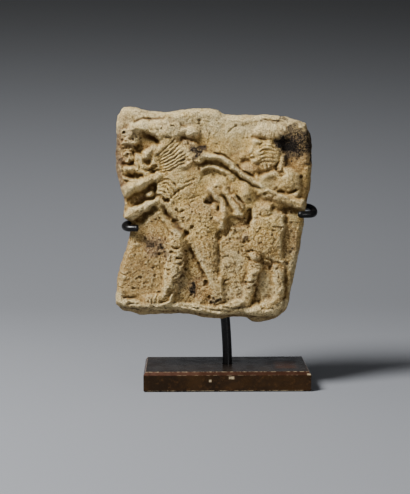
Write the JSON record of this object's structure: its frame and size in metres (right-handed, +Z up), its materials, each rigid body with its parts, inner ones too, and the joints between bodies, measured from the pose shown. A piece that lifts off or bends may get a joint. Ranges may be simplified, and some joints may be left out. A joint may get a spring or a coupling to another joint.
{
  "type": "clay relief plaque on a stand",
  "caption": "Moulded clay relief plaque of a man fighting a rearing maned beast, held by a hooked metal cradle on a low rectangular base plate.",
  "frame": {"origin": "middle of the base plate's underside", "axes": "+Z up; the carved face looks along -Y; +X to the right of someone facing the carving"},
  "size_m": [0.1004, 0.04, 0.1402],
  "materials": {
    "clay": "fired clay, buff, worn and pitted, matte, dark soiling in the hollows",
    "black_rod": "black enamel over brass rod, glossy",
    "dark_brass": "dark brown patinated brass, lacquered, worn to pale metal along its edges"
  },
  "bodies": {
    "root": {"plaque": "clay", "cradle": "black_rod", "base_plate": "dark_brass"}
  },
  "joints": []
}
